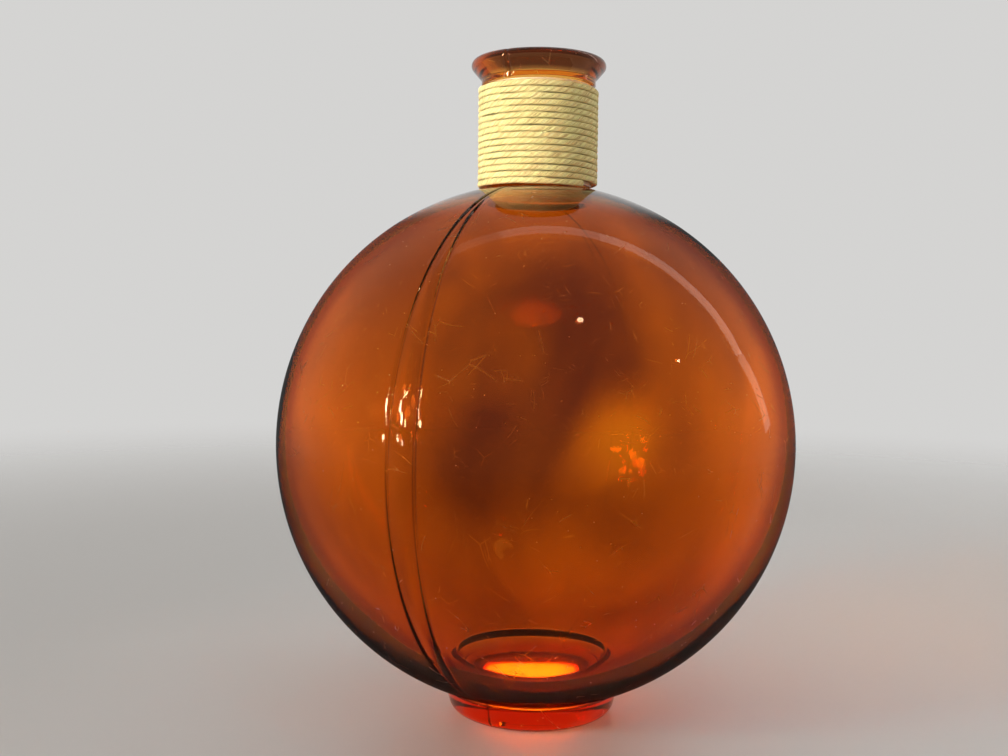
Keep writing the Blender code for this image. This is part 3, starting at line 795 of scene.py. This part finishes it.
def glass_material():
    """Amber glass: clear and fire-polished, with fine marks, a tint that deepens with thickness, and painted
    light and shade in its colour.
    """
    n = Nodes("amber_glass_look")
    place = n.add("ShaderNodeTexCoord").outputs["Object"]
    height = n.add("ShaderNodeSeparateXYZ", Vector=place).outputs["Z"]
    marks = glass_marks(n, place)
    smears = n.noise(place, SMEAR_SCALE, 4.0)[0]
    roughness = n.spread(smears, 0.35, 0.75, *GLASS_ROUGHNESS)
    roughness = n.maths("ADD", roughness, n.maths("MULTIPLY", marks, MARK_ROUGHNESS))

    # The tint, from the globe to the base's painted glow, the collar's painted light, the lip's painted shade
    # and glints, the seams' painted shade and the marks
    tint = globe_tint(n, place, height)
    tint = n.blend(n.spread(height, *BASE_FADE), tint, BASE_PAINTED_GLOW_AMBER)
    tint = n.blend(n.spread(height, *COLLAR_FADE), tint, COLLAR_PAINTED_LIGHT_AMBER)
    tint = n.blend(n.spread(height, *LIP_FADE), tint, LIP_PAINTED_SHADE_BROWN)
    # Painted glints on the lip
    patches = n.maths("MULTIPLY", n.spread(smears, 0.50, 0.60, 0.0, 0.8), n.spread(height, *LIP_PATCH_FADE))
    tint = n.blend(patches, tint, LIP_PAINTED_GLINT_ORANGE)
    # Painted shade along the seams' flanks
    flank = n.add("ShaderNodeAttribute", {"attribute_name": "seam_flank"}).outputs["Fac"]
    flank = n.maths("MULTIPLY", flank, n.spread(height, *SEAM_LOW_FADE))
    flank = n.maths("MULTIPLY", flank, n.spread(height, *SEAM_HIGH_FADE))
    tint = n.blend(n.maths("MULTIPLY", flank, SEAM_PAINTED_SHADE_SHARE), tint, SEAM_PAINTED_SHADE_BROWN)
    tint = n.blend(n.maths("MULTIPLY", marks, MARK_TINT_SHARE), tint, MARK_GOLD)

    # Fine ripples, and marks that are cut into the surface
    ripple = n.maths("MULTIPLY", n.noise(place, RIPPLE_SCALE, 1.0)[0], RIPPLE_SHARE)
    relief = n.maths("ADD", ripple, n.maths("MULTIPLY", marks, MARK_DEPTH_SHARE))
    bump = n.add("ShaderNodeBump", Height=relief, Strength=BUMP_STRENGTH, Distance=BUMP_HEIGHT).outputs[0]
    glass = n.add("ShaderNodeBsdfPrincipled", Base_Color=tint, Roughness=roughness, Normal=bump, IOR=GLASS_IOR,
                  Transmission_Weight=1.0, Specular_Tint=REFLECTION_TINT).outputs[0]

    # Weaker reflections, and painted shade at the edges, where the line of sight runs along the wall
    facing = n.add("ShaderNodeLayerWeight", Blend=0.5).outputs["Facing"]
    clear_tint = n.add("ShaderNodeGamma", Color=tint, Gamma=0.5).outputs[0]
    clear_tint = n.blend(n.spread(facing, *EDGE_PAINTED_SHADE_FADE), clear_tint, EDGE_PAINTED_SHADE_BROWN)
    clear = n.add("ShaderNodeBsdfRefraction", Color=clear_tint, Roughness=roughness, Normal=bump,
                  IOR=GLASS_IOR).outputs[0]
    on_globe = n.maths("MULTIPLY", n.spread(height, *EDGE_LOW_FADE), n.spread(height, *EDGE_HIGH_FADE))
    share = n.maths("MULTIPLY", on_globe, n.spread(facing, *CLEAR_SHARE_FADE))
    seen = n.mix_shaders(share, glass, clear)

    # What the lamps' light meets, and the tint of the depth
    for_lamps = n.add("ShaderNodeBsdfTransparent", Color=LAMP_AMBER).outputs[0]
    is_shadow_ray = n.add("ShaderNodeLightPath").outputs["Is Shadow Ray"]
    depth = n.add("ShaderNodeVolumeAbsorption", Color=DEPTH_AMBER, Density=DEPTH_DENSITY).outputs[0]
    n.tree.links.new(depth, n.output.inputs["Volume"])
    return n.finish(n.mix_shaders(is_shadow_ray, seen, for_lamps))


def twine_material():
    """Straw-coloured twisted twine: fine fibres along the strands, with painted shade in the creases and
    grooves.
    """
    n = Nodes("straw_twine_look")
    place = n.add("ShaderNodeAttribute", {"attribute_name": "twine_place"}).outputs["Vector"]
    crease = n.add("ShaderNodeAttribute", {"attribute_name": "crease"}).outputs["Fac"]
    groove_painted_shade = n.add("ShaderNodeAttribute", {"attribute_name": "groove_painted_shade"}).outputs["Fac"]
    along = n.add("ShaderNodeMapping", Vector=place, Scale=FIBRE_STRETCH).outputs[0]
    fibres = n.noise(along, FIBRE_SCALE, 3.0, Roughness=0.65)[0]
    slow = n.add("ShaderNodeMapping", Vector=place, Scale=PATCH_STRETCH).outputs[0]
    patches = n.noise(slow, PATCH_SCALE, 2.0)[0]
    colour = n.blend(n.spread(patches, 0.35, 0.65, 0.0, 1.0), STRAW, DEEP_STRAW)
    colour = n.blend(n.spread(fibres, 0.42, 0.70, 0.0, 0.75), colour, PALE_STRAW)
    colour = n.blend(n.spread(fibres, 0.34, 0.47, 0.75, 0.0), colour, FIBRE_BROWN)
    # Painted shade in the creases and in the grooves between turns
    colour = n.blend(n.maths("MULTIPLY", crease, CREASE_PAINTED_SHADE_SHARE), colour, CREASE_PAINTED_SHADE_BROWN)
    colour = n.blend(n.maths("MULTIPLY", groove_painted_shade, GROOVE_PAINTED_SHADE_SHARE), colour, GROOVE_PAINTED_SHADE_BROWN)
    relief = n.maths("SUBTRACT", fibres, n.maths("MULTIPLY", crease, 0.5))
    bump = n.add("ShaderNodeBump", Height=relief, Strength=1.0, Distance=FIBRE_BUMP_HEIGHT).outputs[0]
    roughness = n.spread(fibres, 0.3, 0.7, *TWINE_ROUGHNESS)
    cloth = n.add("ShaderNodeBsdfPrincipled", Base_Color=colour, Roughness=roughness, Normal=bump,
                  Sheen_Weight=0.15, Sheen_Roughness=0.4)
    return n.finish(cloth.outputs[0])


def glue_material():
    """A thin film of dried glue: cloudy, with small bubbles."""
    n = Nodes("clear_glue_look")
    place = n.add("ShaderNodeTexCoord").outputs["Object"]
    bubbles = n.add("ShaderNodeTexVoronoi", Vector=place, Scale=BUBBLE_SCALE).outputs["Distance"]
    clouds = n.noise(place, GLUE_CLOUD_SCALE, 3.0)[0]
    bump = n.add("ShaderNodeBump", Height=bubbles, Strength=0.4, Distance=BUBBLE_HEIGHT).outputs[0]
    film = n.add("ShaderNodeBsdfPrincipled", Base_Color=n.blend(clouds, *GLUE_COLOURS),
                 Roughness=n.spread(clouds, 0.3, 0.7, *GLUE_ROUGHNESS), Normal=bump, IOR=1.45)
    return n.finish(film.outputs[0])


def floor_material():
    """A plain pale floor that melts into the background with distance."""
    n = Nodes("studio_floor_look")
    place = n.add("ShaderNodeTexCoord").outputs["Object"]
    grain = n.noise(place, FLOOR_GRAIN_SCALE, 3.0)[0]
    floor = n.add("ShaderNodeBsdfPrincipled", Base_Color=n.blend(grain, *FLOOR_COLOURS),
                  Roughness=n.spread(grain, 0.3, 0.7, *FLOOR_ROUGHNESS)).outputs[0]
    distance = n.vector_maths("LENGTH", place)["Value"]
    nothing = n.add("ShaderNodeBsdfTransparent").outputs[0]
    return n.finish(n.mix_shaders(n.spread(distance, *FLOOR_FADE), floor, nothing))


def make_floor():
    """A large round floor."""
    shape = bmesh.new()
    bmesh.ops.create_circle(shape, cap_ends=True, segments=FLOOR_SIDES, radius=FLOOR_SIZE)
    mesh = bpy.data.meshes.new("studio_floor")
    shape.to_mesh(mesh)
    shape.free()
    floor = bpy.data.objects.new("studio_floor", mesh)
    floor.location.z = -FLOOR_CLEARANCE
    bpy.context.scene.collection.objects.link(floor)
    mesh.materials.append(floor_material())


def make_world():
    """A pale background for what is seen, also in the glass, and plain warm light for everything else."""
    world = bpy.data.worlds.new("studio")
    bpy.context.scene.world = world
    world.use_nodes = True
    tree = world.node_tree
    tree.nodes.clear()
    output = tree.nodes.new("ShaderNodeOutputWorld")
    path = tree.nodes.new("ShaderNodeLightPath")
    seen = tree.nodes.new("ShaderNodeBackground")
    seen.inputs["Color"].default_value = BACKGROUND
    seen.inputs["Strength"].default_value = 1.0
    light = tree.nodes.new("ShaderNodeBackground")
    light.inputs["Color"].default_value = PLAIN_LIGHT
    light.inputs["Strength"].default_value = PLAIN_LIGHT_STRENGTH
    total = path.outputs["Is Camera Ray"]
    for name in ("Is Glossy Ray", "Is Transmission Ray"):
        either = tree.nodes.new("ShaderNodeMath")
        either.operation = "MAXIMUM"
        tree.links.new(total, either.inputs[0])
        tree.links.new(path.outputs[name], either.inputs[1])
        total = either.outputs[0]
    mix = tree.nodes.new("ShaderNodeMixShader")
    tree.links.new(total, mix.inputs[0])
    tree.links.new(light.outputs[0], mix.inputs[1])
    tree.links.new(seen.outputs[0], mix.inputs[2])
    tree.links.new(mix.outputs[0], output.inputs["Surface"])


def make_lamp(name, place, width, height, power, colour, shape="DISK", spread=180.0, target=LAMP_TARGET):
    """A disc lamp or a panel that faces the bottle; a narrow spread keeps its light off the floor beside it."""
    data = bpy.data.lights.new(name, "AREA")
    data.shape = shape
    data.size, data.size_y = width, height
    data.energy = power
    data.color = colour
    data.spread = radians(spread)
    lamp = bpy.data.objects.new(name, data)
    lamp.location = place
    lamp.rotation_mode = "QUATERNION"
    lamp.rotation_quaternion = (Vector(target) - Vector(place)).to_track_quat("-Z", "Y")
    lamp.visible_camera = False
    bpy.context.scene.collection.objects.link(lamp)
    return lamp


def make_light_arc():
    """A row of panels over the bottle and down its right side, seen as an arc of light in the globe."""
    for number, (start, end, radiance) in enumerate(zip(LIGHT_ARC, LIGHT_ARC[1:], LIGHT_ARC_RADIANCE)):
        start, end = Vector(start), Vector(end)
        along = end - start
        length = along.length
        power = pi * length * LIGHT_ARC_WIDTH * radiance
        lamp = make_lamp(f"arc_panel_{number}", (start + end) / 2, length, LIGHT_ARC_WIDTH, power, ARC_LIGHT,
                         "RECTANGLE")
        back = (lamp.location - Vector(LAMP_TARGET)).normalized()
        along = (along - back * along.dot(back)).normalized()
        lamp.rotation_quaternion = Matrix((along, back.cross(along), back)).transposed().to_quaternion()


def make_mouth_spot():
    """A narrow beam down through the mouth, which lights the base from inside."""
    data = bpy.data.lights.new("mouth_spot", "SPOT")
    data.spot_size = radians(MOUTH_SPOT_ANGLE)
    data.spot_blend = MOUTH_SPOT_BLEND
    data.shadow_soft_size = MOUTH_SPOT_SOFTNESS
    data.energy = MOUTH_SPOT_POWER
    spot = bpy.data.objects.new("mouth_spot", data)
    spot.location = (0.0, 0.0, MOUTH_SPOT_HEIGHT)
    spot.visible_camera = False
    bpy.context.scene.collection.objects.link(spot)


def make_camera():
    """The camera at the photograph's viewing angle."""
    level = cos(CAMERA_PITCH)
    ahead = Vector((sin(CAMERA_YAW) * level, cos(CAMERA_YAW) * level, sin(CAMERA_PITCH)))
    right = ahead.cross(Vector((0.0, 0.0, 1.0))).normalized()
    above = right.cross(ahead)
    rolled_right = right * cos(CAMERA_ROLL) + above * sin(CAMERA_ROLL)
    rolled_above = above * cos(CAMERA_ROLL) - right * sin(CAMERA_ROLL)
    data = bpy.data.cameras.new("camera")
    data.lens = CAMERA_LENS
    data.sensor_fit = "HORIZONTAL"
    data.sensor_width = SENSOR_WIDTH
    camera = bpy.data.objects.new("camera", data)
    turn = Matrix((rolled_right, rolled_above, -ahead)).transposed().to_4x4()
    camera.matrix_world = Matrix.Translation(Vector(CAMERA_PLACE)) @ turn
    bpy.context.scene.collection.objects.link(camera)
    bpy.context.scene.camera = camera


make_camera()
bpy.context.scene.view_settings.view_transform = "Standard"
make_world()
make_floor()
for number, (place, size) in enumerate(KEY_LAMPS):
    make_lamp(f"key_lamp_{number}", place, size, size, KEY_LAMP_POWER * size ** 2, KEY_LIGHT,
              spread=KEY_LAMP_SPREAD, target=KEY_LAMP_TARGET)
for name, place, size, power in SMALL_LAMPS:
    make_lamp(name, place, size, size, power, SMALL_LIGHT)
make_light_arc()
make_mouth_spot()

glass = make_glass()
glass.data.materials.append(glass_material())
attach(glass, "root")
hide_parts("glass_bottle")

twine = make_twine()
twine.data.materials.append(twine_material())
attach(twine, "root")
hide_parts("neck_rope")

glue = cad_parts["rope_adhesive"]
glue.data.materials.clear()
glue.data.materials.append(glue_material())
